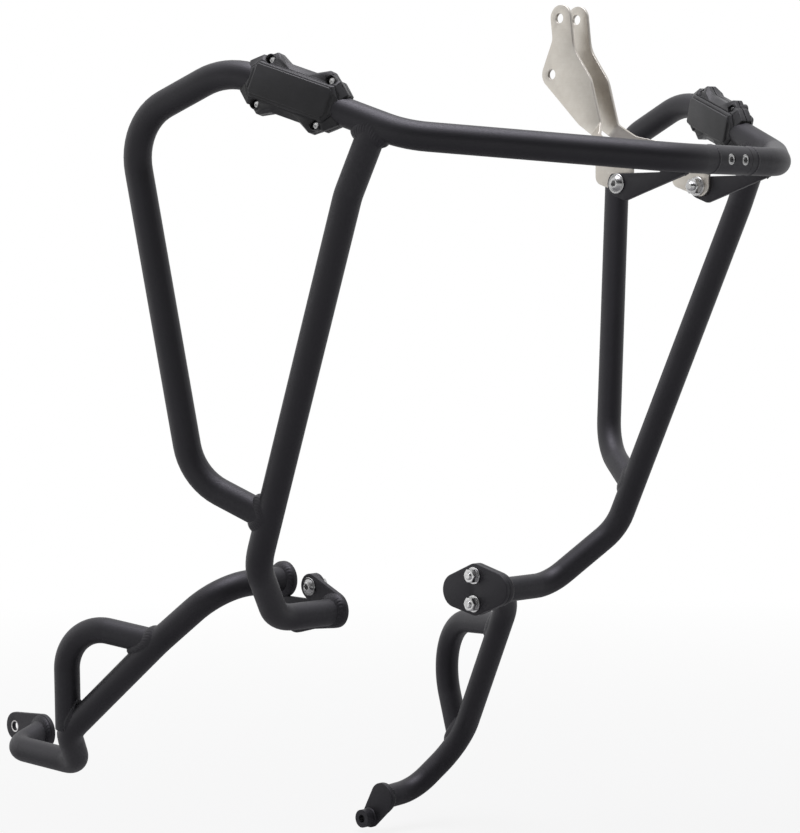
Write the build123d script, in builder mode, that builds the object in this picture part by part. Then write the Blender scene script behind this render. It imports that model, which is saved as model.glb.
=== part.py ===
from build123d import *
import os

os.makedirs("parts", exist_ok=True)

# Sizes are millimetres. X points forward, Y to the bike's left and Z up.
# The origin is the centre of the bracket's top bolt hole, midway between its two plates.
# Corner lists are written for a side at positive Y and turned over for the other side.

# Tube stock and the welded joints
tube_diameter = 25.4
tube_wall = 2.0
root_gap = 0.2
weld_leg = 4.0
plate_weld_leg = 3.0
boss_weld_leg = 1.2
seam_width = 3.0
seam_height = 0.8

# Front bar, where the two loop tubes meet in a lap joint
bar_x = 188.5
bar_z = -134.5
right_seam_y = -29.0
left_seam_y = 25.0
right_shoulder_y = -21.0
left_shoulder_y = 16.6
lap_gap = 0.4
right_spigot_length = 16.0
left_spigot_length = 16.0
spigot_clearance = 0.15
lap_screw_ys = (-13.0, 6.5)
lap_screw_diameter = 6.0
lap_head_diameter = 9.8
lap_head_height = 6.0
lap_head_recess = 0.5
lap_screw_length = 16.0
lap_socket_flats = 5.0
lap_socket_depth = 3.0

# Loop tube corners and bend radii
loop_corners = [
    (bar_x, 67.0, bar_z),
    (42.5, 254.6, -116.3),
    (-116.0, 312.8, -55.2),
    (-226.4, 333.5, -99.2),
    (-198.2, 286.7, -418.2),
]
loop_bend_radii = [65.0, 62.5, 78.0, 56.0, 56.0]

# Strut corners, its start along the loop's second run and the loop's end along the strut
flange_x = -194.0
flange_z = -556.0
flange_face_y = 117.0
strut_start_share = 0.1615
loop_end_share = 0.864
strut_corners = [
    (-11.9, 268.8, -166.6),
    (-153.1, 248.6, -498.1),
    (flange_x, 189.0, flange_z),
]
strut_bend_radii = [66.0, 50.0, 44.0]

# Bolts, washers and nuts of the flanges and lugs
bolt_diameter = 8.0
bolt_length = 20.0
bolt_clearance = 1.0
bolt_flange_diameter = 17.5
bolt_flange_height = 1.4
bolt_dome_diameter = 14.0
bolt_head_height = 4.6
bolt_socket_flats = 5.0
bolt_socket_depth = 2.8
bolt_tip_chamfer = 0.8
thread_clearance = 0.05
washer_diameter = 17.5
washer_bore = 8.4
washer_height = 1.6
nut_flats = 13.0
nut_height = 6.5

# Upper flanges and lower plates; places are measured from the strut's lower end
plate_thickness = 5.0
flange_end_radius = 17.3
flange_end_lift = 1.5
flange_lobe_radius = 12.3
plate_lobe_radius = 12.3
right_flange_bolts = [(-33.0, 21.3), (-33.0, -7.7)]
left_flange_bolts = [(-28.5, 13.5), (-28.5, -15.5)]
right_disc = (-78.3, 24.0)
right_disc_radius = 17.7
right_plate_foot = (-59.0, -9.0)
right_plate_foot_radius = 17.5
right_notch_floor = 8.0
left_disc = (-56.0, -4.5)
left_disc_radius = 17.5

# Lower bars; the two sides differ
rear_plate_face_y = 172.0
right_lower_corners = [
    (-272.3, 190.0, -532.0),
    (-328.5, 222.0, -588.5),
    (-436.5, 248.0, -686.5),
    (-466.0, 214.0, -726.0),
    (-571.0, 214.0, -724.0),
]
right_lower_bend_radii = [55.0, 70.0, 32.0, 32.0, 24.0]
right_lower_end = (-584.0, rear_plate_face_y, -715.0)
right_brace_corners = [(-338.0, 224.0, -588.2), (-426.2, 258.0, -574.1), (-437.0, 248.0, -682.6)]
right_brace_bend_radius = 45.0
left_lower_corners = [
    (-250.0, 197.0, -560.5),
    (-391.5, 262.0, -756.0),
    (-419.3, 216.0, -807.2),
]
left_lower_bend_radii = [66.0, 70.0, 50.0]
left_lower_end = (-421.0, rear_plate_face_y, -810.2)
left_brace_corners = [(-288.5, 217.5, -609.5), (-441.0, 270.0, -622.5), (-394.0, 261.0, -750.0)]
left_brace_bend_radius = 66.0

# Rear mounting plates
right_rear_hole = (-630.3, -714.7)
right_rear_disc_radius = 18.5
right_rear_lobe_radius = 14.8
left_rear_hole = (-440.0, -834.4)
left_rear_disc_radius = 16.5
left_rear_lobe_radius = 11.3
rear_hole_diameter = 9.0
boss_diameter = 19.8
boss_length = 11.5

# Lugs behind the front bar
lug_inner_y = 54.6
lug_bolt = (110.2, -154.5)
lug_end_radius = 11.0
lug_heel = (119.0, -166.3)
lug_heel_radius = 3.0
lug_root_radius = 11.0
lug_root_back = 6.0
lug_root_drop = 3.0
lug_top_z = -145.5
lug_rise_x = 158.0
lug_root_top_z = -127.0

# Stainless bracket: sheet folded twice across its sloping arm, seen from the side as one outline
sheet_thickness = 3.0
sheet_middle_y = 11.75
fold_slope = 45.0
first_fold = 104.9
second_fold = 150.0
fold_radius = 5.0
bracket_hole_diameter = 9.0
bracket_rear_hole = (-9.3, -50.7)
bracket_corners = [
    (-12.6, 12.2),
    (11.8, 12.2),
    (16.8, -28.0),
    (38.2, -57.0),
    (50.4, -98.0),
    (60.0, -108.5),
    (123.5, -126.0),
    (123.5, -167.6),
    (80.8, -152.9),
    (80.8, -134.0),
    (24.0, -98.0),
    (-23.8, -53.1),
    (-8.5, -19.0),
]
bracket_corner_radii = [11.5, 11.5, 30.0, 30.0, 8.0, 8.0, 6.0, 10.0, 8.0, 8.0, 20.0, 12.3, 14.0]

# Slider pads clamped on the loop's second run; the right one sits turned on its tube
pad_from_corner = 70.5
right_pad_turn = 7.4
left_pad_turn = 0.0
pad_pitch = 1.0
pad_lift = 0.2
pad_length = 99.5
pad_end_height = 27.6
pad_middle_length = 78.0
pad_height = 45.0
pad_base = 6.0
pad_break_length = 90.0
pad_break_end_height = 12.5
pad_break_middle_length = 75.0
pad_break_height = 33.5
pad_break = 10.6
pad_face_length = 74.0
pad_face_height = 26.0
pad_face_cut = 1.5
pad_face = 16.0
pad_split_gap = 1.0
pad_bore_clearance = 0.3
pad_ear = (30.2, 20.1)
pad_ear_wall = 5.0
pad_ear_peak = (26.5, 24.0)
pad_ear_peak_radius = 4.0
pad_ear_outer_foot = (47.5, 11.4)
pad_ear_inner_foot = (13.5, 20.5)
pad_ear_foot_radius = 1.5
pad_ear_skirt = 4.5
pad_ear_height = 10.0
pad_ear_crown_share = 0.8
pad_groove_width = 1.0
pad_groove_depth = 1.0
pad_screw_diameter = 4.0
pad_screw_clearance = 0.5
pad_screw_length = 10.0
pad_head_diameter = 7.0
pad_head_height = 2.8
pad_head_clearance = 1.2
pad_socket_flats = 3.0
pad_socket_depth = 1.6
pad_seat = 2.0
pad_nut_flats = 7.0
pad_nut_height = 3.2
pad_nut_clearance = 0.2

# Sizes that follow from the ones above
tube_radius = tube_diameter / 2
bore_radius = tube_radius - tube_wall
spigot_radius = bore_radius - spigot_clearance
bolt_hole = bolt_diameter + bolt_clearance
stack_y = flange_face_y - plate_thickness
inner_y = stack_y - plate_thickness
lug_outer_y = lug_inner_y + plate_thickness
tab_middle_y = lug_inner_y - sheet_thickness / 2
boss_face_y = rear_plate_face_y - plate_thickness


def sided(points, sign):
    return [Vector(x, sign * y, z) for x, y, z in points]


def along(start, end, share):
    return start + (end - start) * share


def from_flange(place):
    return (flange_x + place[0], flange_z + place[1])


def side_plane(y):
    return Plane(origin=(0, y, 0), x_dir=(1, 0, 0), z_dir=(0, -1, 0))


def bent_path(corners, radii):
    if len(corners) == 2:
        return Polyline(*corners)
    return FilletPolyline(*corners, radius=radii)


def rod(corners, radii, radius):
    path = bent_path(corners, radii)
    return sweep(Plane(path @ 0, z_dir=path % 0) * Circle(radius), path=path)


def slab(center, width, thickness):
    return Pos(*center) * Box(width, thickness, width)


# Bend corners of each side, right at negative Y
signs = {"right": -1, "left": 1}
seam_y = {"right": right_seam_y, "left": left_seam_y}
loops = {}
struts = {}
lowers = {}
braces = {}
for side, sign in signs.items():
    bends = sided(loop_corners, sign)
    legs = sided(strut_corners, sign)
    foot = Vector(flange_x, sign * flange_face_y, flange_z)
    loop_end = along(legs[0], legs[1], loop_end_share)
    loops[side] = [Vector(bar_x, seam_y[side], bar_z)] + bends + [loop_end]
    struts[side] = [along(bends[1], bends[2], strut_start_share)] + legs + [foot]

right_start = Vector(flange_x + right_disc[0], -stack_y, flange_z + right_disc[1])
left_start = Vector(flange_x + left_disc[0], stack_y, flange_z + left_disc[1])
right_end = sided([right_lower_end], -1)[0]
left_end = sided([left_lower_end], 1)[0]
lowers["right"] = [right_start] + sided(right_lower_corners, -1)
lowers["left"] = [left_start] + sided(left_lower_corners, 1)
braces["right"] = sided(right_brace_corners, -1)
braces["left"] = sided(left_brace_corners, 1)
lower_ends = {"right": right_end, "left": left_end}
lower_radii = {"right": right_lower_bend_radii, "left": left_lower_bend_radii}
brace_radii = {"right": right_brace_bend_radius, "left": left_brace_bend_radius}
for side in signs:
    last = lowers[side][-1]
    overrun = (lower_ends[side] - last).normalized() * tube_radius
    lowers[side].append(lower_ends[side] + overrun)

# Loop tubes, their lower ends coped to the struts
for side in signs:
    corners = loops[side]
    strut_run = rod(struts[side][1:3], [], tube_radius + root_gap)
    with BuildPart() as loop_tube:
        with BuildLine() as run:
            FilletPolyline(*corners, radius=loop_bend_radii)
        with BuildSketch(Plane(run.line @ 0, z_dir=run.line % 0)):
            Circle(tube_radius)
            Circle(bore_radius, mode=Mode.SUBTRACT)
        sweep()
        add(strut_run, mode=Mode.SUBTRACT)
    loop_tube.part.label = side + "_loop_tube"
    export_step(loop_tube.part, "parts/" + side + "_loop_tube.step")

# Struts, their upper ends coped to the loops
for side in signs:
    corners = struts[side]
    loop_run = rod(loops[side][1:4], loop_bend_radii[1:2], tube_radius + root_gap)
    with BuildPart() as strut:
        with BuildLine() as run:
            FilletPolyline(*corners, radius=strut_bend_radii)
        with BuildSketch(Plane(run.line @ 0, z_dir=run.line % 0)):
            Circle(tube_radius)
            Circle(bore_radius, mode=Mode.SUBTRACT)
        sweep()
        add(loop_run, mode=Mode.SUBTRACT)
    strut.part.label = side + "_strut"
    export_step(strut.part, "parts/" + side + "_strut.step")

# Upper flanges, welded square on the struts
flange_bolts = {
    "right": [from_flange(place) for place in right_flange_bolts],
    "left": [from_flange(place) for place in left_flange_bolts],
}
for side, sign in signs.items():
    with BuildPart() as upper_flange:
        for bolt_place in flange_bolts[side]:
            with BuildSketch(side_plane(sign * stack_y)):
                with Locations((flange_x, flange_z + flange_end_lift)):
                    Circle(flange_end_radius)
                with Locations(bolt_place):
                    Circle(flange_lobe_radius)
                make_hull()
            extrude(amount=-sign * plate_thickness)
        with BuildSketch(side_plane(sign * stack_y)):
            with Locations(*flange_bolts[side]):
                Circle(bolt_hole / 2)
        extrude(amount=-sign * plate_thickness, mode=Mode.SUBTRACT)
    upper_flange.part.label = side + "_upper_flange"
    export_step(upper_flange.part, "parts/" + side + "_upper_flange.step")

# Right lower plate: a disc for the tube, a foot and two bolt lobes, open between disc and top bolt
disc_place = from_flange(right_disc)
foot_place = from_flange(right_plate_foot)
notch_x = flange_x + (right_disc[0] + right_flange_bolts[0][0]) / 2
notch_width = right_flange_bolts[0][0] - right_disc[0]
notch_z = flange_z + right_notch_floor + flange_end_radius
with BuildPart() as right_lower_plate:
    with BuildSketch(side_plane(-inner_y)):
        with BuildSketch(mode=Mode.PRIVATE) as body:
            with Locations(disc_place):
                Circle(right_disc_radius)
            with Locations(foot_place):
                Circle(right_plate_foot_radius)
            with Locations(*flange_bolts["right"]):
                Circle(plate_lobe_radius)
            make_hull()
        add(body.sketch)
        with Locations((notch_x, notch_z)):
            Rectangle(notch_width, 2 * flange_end_radius, mode=Mode.SUBTRACT)
        with Locations(disc_place):
            Circle(right_disc_radius)
        with Locations(*flange_bolts["right"]):
            Circle(plate_lobe_radius)
        with Locations(*flange_bolts["right"]):
            Circle(bolt_hole / 2, mode=Mode.SUBTRACT)
    extrude(amount=plate_thickness)
right_lower_plate.part.label = "right_lower_plate"
export_step(right_lower_plate.part, "parts/right_lower_plate.step")

# Left lower plate: a plain lobed plate that backs the whole flange
with BuildPart() as left_lower_plate:
    with BuildSketch(side_plane(inner_y)):
        with Locations(from_flange(left_disc)):
            Circle(left_disc_radius)
        with Locations((flange_x, flange_z + flange_end_lift)):
            Circle(flange_end_radius)
        with Locations(*flange_bolts["left"]):
            Circle(plate_lobe_radius)
        make_hull()
        with Locations(*flange_bolts["left"]):
            Circle(bolt_hole / 2, mode=Mode.SUBTRACT)
    extrude(amount=-plate_thickness)
left_lower_plate.part.label = "left_lower_plate"
export_step(left_lower_plate.part, "parts/left_lower_plate.step")

# Lower tubes, their rear ends trimmed to the rear plates
for side, sign in signs.items():
    corners = lowers[side]
    end = lower_ends[side]
    trim = slab((end.X, end.Y - sign * tube_diameter, end.Z), 4 * tube_diameter, 2 * tube_diameter)
    with BuildPart() as lower_tube:
        with BuildLine() as run:
            FilletPolyline(*corners, radius=lower_radii[side])
        with BuildSketch(Plane(run.line @ 0, z_dir=run.line % 0)):
            Circle(tube_radius)
            Circle(bore_radius, mode=Mode.SUBTRACT)
        sweep()
        add(trim, mode=Mode.SUBTRACT)
    lower_tube.part.label = side + "_lower_tube"
    export_step(lower_tube.part, "parts/" + side + "_lower_tube.step")

# Braces, both ends coped to the lower tubes
for side in signs:
    corners = braces[side]
    lower_run = rod(lowers[side][:-1], lower_radii[side][:-1], tube_radius + root_gap)
    with BuildPart() as brace:
        with BuildLine() as run:
            FilletPolyline(*corners, radius=brace_radii[side])
        with BuildSketch(Plane(run.line @ 0, z_dir=run.line % 0)):
            Circle(tube_radius)
            Circle(bore_radius, mode=Mode.SUBTRACT)
        sweep()
        add(lower_run, mode=Mode.SUBTRACT)
    brace.part.label = side + "_brace"
    export_step(brace.part, "parts/" + side + "_brace.step")

# Right rear plate
with BuildPart() as right_rear_plate:
    with BuildSketch(side_plane(-boss_face_y)):
        with Locations((right_end.X, right_end.Z)):
            Circle(right_rear_disc_radius)
        with Locations(right_rear_hole):
            Circle(right_rear_lobe_radius)
        make_hull()
        with Locations(right_rear_hole):
            Circle(rear_hole_diameter / 2, mode=Mode.SUBTRACT)
    extrude(amount=plate_thickness)
right_rear_plate.part.label = "right_rear_plate"
export_step(right_rear_plate.part, "parts/right_rear_plate.step")

# Left rear plate and its boss
with BuildPart() as left_rear_plate:
    with BuildSketch(side_plane(boss_face_y)):
        with Locations((left_end.X, left_end.Z)):
            Circle(left_rear_disc_radius)
        with Locations(left_rear_hole):
            Circle(left_rear_lobe_radius)
        make_hull()
        with Locations(left_rear_hole):
            Circle(rear_hole_diameter / 2, mode=Mode.SUBTRACT)
    extrude(amount=-plate_thickness)
left_rear_plate.part.label = "left_rear_plate"
export_step(left_rear_plate.part, "parts/left_rear_plate.step")

with BuildPart() as left_rear_boss:
    with BuildSketch(side_plane(boss_face_y)):
        with Locations(left_rear_hole):
            Circle(boss_diameter / 2)
            Circle(rear_hole_diameter / 2, mode=Mode.SUBTRACT)
    extrude(amount=boss_length)
left_rear_boss.part.label = "left_rear_boss"
export_step(left_rear_boss.part, "parts/left_rear_boss.step")

# Lugs, coped to the back of the front bar
lug_faces = {}
for side, sign in signs.items():
    bar_run = rod(loops[side][0:3], loop_bend_radii[0:1], tube_radius + root_gap)
    with BuildPart() as lug:
        with BuildSketch(side_plane(sign * lug_inner_y)) as lug_outline:
            with Locations(lug_bolt):
                Circle(lug_end_radius)
            with Locations(lug_heel):
                Circle(lug_heel_radius)
            with Locations((bar_x - lug_root_back, bar_z - lug_root_drop)):
                Circle(lug_root_radius)
            make_hull()
            with BuildLine():
                Polyline(
                    (lug_bolt[0] - 2 * lug_end_radius, lug_top_z),
                    (lug_rise_x, lug_top_z),
                    (bar_x, lug_root_top_z),
                    (bar_x, lug_root_top_z + 2 * tube_diameter),
                    (lug_bolt[0] - 2 * lug_end_radius, lug_root_top_z + 2 * tube_diameter),
                    close=True,
                )
            make_face(mode=Mode.SUBTRACT)
            with Locations(lug_bolt):
                Circle(bolt_hole / 2, mode=Mode.SUBTRACT)
        extrude(amount=-sign * plate_thickness)
        add(bar_run, mode=Mode.SUBTRACT)
    lug_faces[side] = lug_outline.sketch
    lug.part.label = side + "_lug"
    export_step(lug.part, "parts/" + side + "_lug.step")

# Lap connectors: the right one keeps its front half over the left one's back half
half_width = 2 * tube_diameter
lap_screw_seat_x = bar_x + tube_radius - lap_head_recess - lap_head_height
lap_places = [(y, bar_z) for y in lap_screw_ys]
with BuildPart() as right_connector:
    with BuildSketch(side_plane(right_seam_y)):
        with Locations((bar_x, bar_z)):
            Circle(spigot_radius)
    extrude(amount=right_spigot_length)
    with BuildSketch(side_plane(right_seam_y)):
        with Locations((bar_x, bar_z)):
            Circle(tube_radius)
    extrude(amount=right_seam_y - right_shoulder_y)
    with BuildSketch(side_plane(right_shoulder_y)):
        with Locations((bar_x, bar_z)):
            Circle(tube_radius)
        with Locations((bar_x + lap_gap / 2 - half_width / 2, bar_z)):
            Rectangle(half_width, half_width, mode=Mode.SUBTRACT)
    extrude(amount=right_shoulder_y - left_shoulder_y + lap_gap)
    with BuildSketch(Plane.YZ.offset(bar_x)):
        with Locations(*lap_places):
            Circle((lap_screw_diameter + bolt_clearance / 2) / 2)
    extrude(amount=tube_radius, mode=Mode.SUBTRACT)
    with BuildSketch(Plane.YZ.offset(lap_screw_seat_x)):
        with Locations(*lap_places):
            Circle((lap_head_diameter + spigot_clearance) / 2)
    extrude(amount=tube_radius, mode=Mode.SUBTRACT)
right_connector.part.label = "right_connector"
export_step(right_connector.part, "parts/right_connector.step")

with BuildPart() as left_connector:
    with BuildSketch(side_plane(left_seam_y)):
        with Locations((bar_x, bar_z)):
            Circle(spigot_radius)
    extrude(amount=-left_spigot_length)
    with BuildSketch(side_plane(left_shoulder_y)):
        with Locations((bar_x, bar_z)):
            Circle(tube_radius)
    extrude(amount=left_shoulder_y - left_seam_y)
    with BuildSketch(side_plane(left_shoulder_y)):
        with Locations((bar_x, bar_z)):
            Circle(tube_radius)
        with Locations((bar_x - lap_gap / 2 + half_width / 2, bar_z)):
            Rectangle(half_width, half_width, mode=Mode.SUBTRACT)
    extrude(amount=left_shoulder_y - right_shoulder_y - lap_gap)
    with BuildSketch(Plane.YZ.offset(bar_x)):
        with Locations(*lap_places):
            Circle(lap_screw_diameter / 2 + thread_clearance)
    extrude(amount=-tube_diameter, mode=Mode.SUBTRACT)
left_connector.part.label = "left_connector"
export_step(left_connector.part, "parts/left_connector.step")

# Socket screws of the lap joint
with BuildPart() as lap_screws:
    with BuildSketch(Plane.YZ.offset(lap_screw_seat_x)):
        with Locations(*lap_places):
            Circle(lap_screw_diameter / 2)
    extrude(amount=-lap_screw_length)
    with BuildSketch(Plane.YZ.offset(lap_screw_seat_x)):
        with Locations(*lap_places):
            Circle(lap_head_diameter / 2)
    extrude(amount=lap_head_height)
    with BuildSketch(Plane.YZ.offset(lap_screw_seat_x + lap_head_height)):
        with Locations(*lap_places):
            RegularPolygon(lap_socket_flats / 2, 6, major_radius=False)
    extrude(amount=-lap_socket_depth, mode=Mode.SUBTRACT)
lap_screws.part.label = "lap_screws"
export_step(lap_screws.part, "parts/lap_screws.step")

# Bracket plates: a folded strip cut to the side outline
sheet_reach = 2 * second_fold
fold_line = Vector(1, 0, 0).rotate(Axis.Y, -fold_slope)
fold_plane = Plane((0, 0, 0), x_dir=(0, 1, 0), z_dir=fold_line)
for side, sign in signs.items():
    with BuildPart() as bracket_plate:
        with BuildSketch(fold_plane.offset(-sheet_reach)):
            with BuildLine() as fold:
                FilletPolyline(
                    (sign * sheet_middle_y, sheet_reach),
                    (sign * sheet_middle_y, -first_fold),
                    (sign * tab_middle_y, -second_fold),
                    (sign * tab_middle_y, -sheet_reach),
                    radius=fold_radius,
                )
            trace(line_width=sheet_thickness)
        extrude(amount=2 * sheet_reach)
        with BuildSketch(side_plane(sign * (lug_outer_y + sheet_thickness))):
            with BuildLine():
                FilletPolyline(*bracket_corners, radius=bracket_corner_radii, close=True)
            make_face()
            with Locations((0, 0), bracket_rear_hole):
                Circle(bracket_hole_diameter / 2, mode=Mode.SUBTRACT)
            with Locations(lug_bolt):
                Circle(bolt_hole / 2, mode=Mode.SUBTRACT)
        extrude(amount=sign * 2 * lug_outer_y, mode=Mode.INTERSECT)
    bracket_plate.part.label = side + "_bracket_plate"
    export_step(bracket_plate.part, "parts/" + side + "_bracket_plate.step")

# Bolts, washers and nuts: four at the flanges and two at the lugs, heads outside
head_places = []
nut_places = []
for side, sign in signs.items():
    for x, z in flange_bolts[side]:
        head_places.append(Plane((x, sign * flange_face_y, z), x_dir=(1, 0, 0), z_dir=(0, sign, 0)))
        nut_places.append(Plane((x, sign * inner_y, z), x_dir=(1, 0, 0), z_dir=(0, -sign, 0)))
    x, z = lug_bolt
    tab_inner_y = lug_inner_y - sheet_thickness
    head_places.append(Plane((x, sign * lug_outer_y, z), x_dir=(1, 0, 0), z_dir=(0, sign, 0)))
    nut_places.append(Plane((x, sign * tab_inner_y, z), x_dir=(1, 0, 0), z_dir=(0, -sign, 0)))

bolt_radius = bolt_diameter / 2
with BuildPart() as bolt:
    with BuildSketch(Plane.XZ):
        with BuildLine():
            flat = Polyline(
                (bolt_socket_flats * 0.7, bolt_head_height),
                (0, bolt_head_height),
                (0, -bolt_length),
                (bolt_radius - bolt_tip_chamfer, -bolt_length),
                (bolt_radius, -bolt_length + bolt_tip_chamfer),
                (bolt_radius, 0),
                (bolt_flange_diameter / 2, 0),
                (bolt_flange_diameter / 2, bolt_flange_height),
                (bolt_dome_diameter / 2, bolt_flange_height),
            )
            RadiusArc(flat @ 1, flat @ 0, -bolt_dome_diameter * 0.6)
        make_face()
    revolve(axis=Axis.Z)
    with BuildSketch(Plane.XY.offset(bolt_head_height)):
        RegularPolygon(bolt_socket_flats / 2, 6, major_radius=False)
    extrude(amount=-bolt_socket_depth, mode=Mode.SUBTRACT)

with BuildPart() as bolts:
    with Locations(*head_places):
        add(bolt.part)
bolts.part.label = "bolts"
export_step(bolts.part, "parts/bolts.step")

with BuildPart() as washers:
    for place in nut_places:
        with BuildSketch(place):
            Circle(washer_diameter / 2)
            Circle(washer_bore / 2, mode=Mode.SUBTRACT)
        extrude(amount=washer_height)
washers.part.label = "washers"
export_step(washers.part, "parts/washers.step")

with BuildPart() as nut:
    with BuildSketch():
        RegularPolygon(nut_flats / 2, 6, major_radius=False)
    extrude(amount=nut_height)
    with BuildSketch(Plane.XZ):
        with BuildLine():
            Polyline(
                (0, 0),
                (nut_flats * 0.47, 0),
                (nut_flats * 0.6, nut_flats * 0.075),
                (nut_flats * 0.6, nut_height - nut_flats * 0.075),
                (nut_flats * 0.47, nut_height),
                (0, nut_height),
                close=True,
            )
        make_face()
    revolve(axis=Axis.Z, mode=Mode.INTERSECT)
    with BuildSketch():
        Circle(bolt_radius + thread_clearance)
    extrude(amount=nut_height, mode=Mode.SUBTRACT)

with BuildPart() as nuts:
    with Locations(*[place.offset(washer_height) for place in nut_places]):
        add(nut.part)
nuts.part.label = "nuts"
export_step(nuts.part, "parts/nuts.step")

# Slider pads, each an outer and an inner half around the loop's second run
pad_turns = {"right": right_pad_turn, "left": left_pad_turn}
pad_planes = {}
for side, sign in signs.items():
    pad_run = (loops[side][2] - loops[side][3]).normalized()
    pad_out = Vector(0, 0, 1).cross(pad_run).normalized() * sign
    pad_middle = loops[side][3] + pad_run * pad_from_corner
    level_plane = Plane(pad_middle, x_dir=pad_run * -sign, z_dir=pad_out)
    turned = level_plane.location * Rot(-pad_turns[side], 0, -sign * pad_pitch)
    pad_planes[side] = Plane(turned * Pos(0, pad_lift, 0))


def pad_outline(length, end_height, middle_length, height):
    Rectangle(length, end_height)
    Rectangle(middle_length, height)
    make_hull()


def ear_outline(x, y, share):
    with Locations((x * pad_ear[0] * share, y * pad_ear[1] * share)):
        Circle(pad_ear_wall)
    with Locations((x * pad_ear_peak[0] * share, y * pad_ear_peak[1] * share)):
        Circle(pad_ear_peak_radius)
    with Locations((x * pad_ear_outer_foot[0] * share, y * pad_ear_outer_foot[1] * share)):
        Circle(pad_ear_foot_radius)
    with Locations((x * pad_ear_inner_foot[0] * share, y * pad_ear_inner_foot[1] * share)):
        Circle(pad_ear_foot_radius)
    make_hull()


ear_places = [(x * pad_ear[0], y * pad_ear[1]) for x in (-1, 1) for y in (-1, 1)]
halves = {"outer": 1, "inner": -1}
skin = pad_split_gap / 2
for side in signs:
    plane = pad_planes[side]
    pad_bore = rod(loops[side][1:5], loop_bend_radii[1:3], tube_radius + pad_bore_clearance / 2)
    for half, way in halves.items():
        with BuildPart() as pad_half:
            with BuildSketch(plane.offset(way * skin)):
                pad_outline(pad_length, pad_end_height, pad_middle_length, pad_height)
            extrude(amount=way * (pad_base - skin))
            with BuildSketch(plane.offset(way * pad_base)):
                pad_outline(pad_length, pad_end_height, pad_middle_length, pad_height)
            with BuildSketch(plane.offset(way * pad_break)):
                pad_outline(pad_break_length, pad_break_end_height, pad_break_middle_length, pad_break_height)
            with BuildSketch(plane.offset(way * pad_face)):
                pad_outline(
                    pad_face_length,
                    pad_face_height - 2 * pad_face_cut,
                    pad_face_length - 2 * pad_face_cut,
                    pad_face_height,
                )
            loft(ruled=True)
            for x in (-1, 1):
                for y in (-1, 1):
                    with BuildSketch(plane.offset(way * skin)):
                        ear_outline(x, y, 1)
                    extrude(amount=way * (pad_ear_skirt - skin))
                    with BuildSketch(plane.offset(way * pad_ear_skirt)):
                        ear_outline(x, y, 1)
                    with BuildSketch(plane.offset(way * pad_ear_height)):
                        ear_outline(x, y, pad_ear_crown_share)
                    loft(ruled=True)
            add(pad_bore, mode=Mode.SUBTRACT)
            with BuildSketch(plane):
                with Locations(*ear_places):
                    Circle((pad_screw_diameter + pad_screw_clearance) / 2)
            extrude(amount=way * pad_face, mode=Mode.SUBTRACT)
            with BuildSketch(plane.offset(way * pad_seat)):
                with Locations(*ear_places):
                    if way > 0:
                        Circle((pad_head_diameter + pad_head_clearance) / 2)
                    else:
                        RegularPolygon((pad_nut_flats + pad_nut_clearance) / 2, 6, major_radius=False)
            extrude(amount=way * pad_face, mode=Mode.SUBTRACT)
            with BuildSketch(plane.offset(way * (pad_break - pad_groove_width / 2))):
                Rectangle(pad_length, pad_height)
                with BuildSketch(mode=Mode.PRIVATE) as core:
                    pad_outline(
                        pad_break_length - 2 * pad_groove_depth,
                        pad_break_end_height - pad_groove_depth,
                        pad_break_middle_length - pad_groove_depth,
                        pad_break_height - 2 * pad_groove_depth,
                    )
                add(core.sketch, mode=Mode.SUBTRACT)
            extrude(amount=way * pad_groove_width, mode=Mode.SUBTRACT)
        pad_half.part.label = side + "_pad_" + half
        export_step(pad_half.part, "parts/" + side + "_pad_" + half + ".step")

with BuildPart() as pad_screws:
    for plane in pad_planes.values():
        with BuildSketch(plane.offset(pad_seat)):
            with Locations(*ear_places):
                Circle(pad_screw_diameter / 2)
        extrude(amount=-pad_screw_length)
        with BuildSketch(plane.offset(pad_seat)):
            with Locations(*ear_places):
                Circle(pad_head_diameter / 2)
        extrude(amount=pad_head_height)
        with BuildSketch(plane.offset(pad_seat + pad_head_height)):
            with Locations(*ear_places):
                RegularPolygon(pad_socket_flats / 2, 6, major_radius=False)
        extrude(amount=-pad_socket_depth, mode=Mode.SUBTRACT)
pad_screws.part.label = "pad_screws"
export_step(pad_screws.part, "parts/pad_screws.step")

with BuildPart() as pad_nuts:
    for plane in pad_planes.values():
        with BuildSketch(plane.offset(-pad_seat)):
            with Locations(*ear_places):
                RegularPolygon(pad_nut_flats / 2, 6, major_radius=False)
            with Locations(*ear_places):
                Circle(pad_screw_diameter / 2 + thread_clearance, mode=Mode.SUBTRACT)
        extrude(amount=-pad_nut_height)
pad_nuts.part.label = "pad_nuts"
export_step(pad_nuts.part, "parts/pad_nuts.step")

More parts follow.
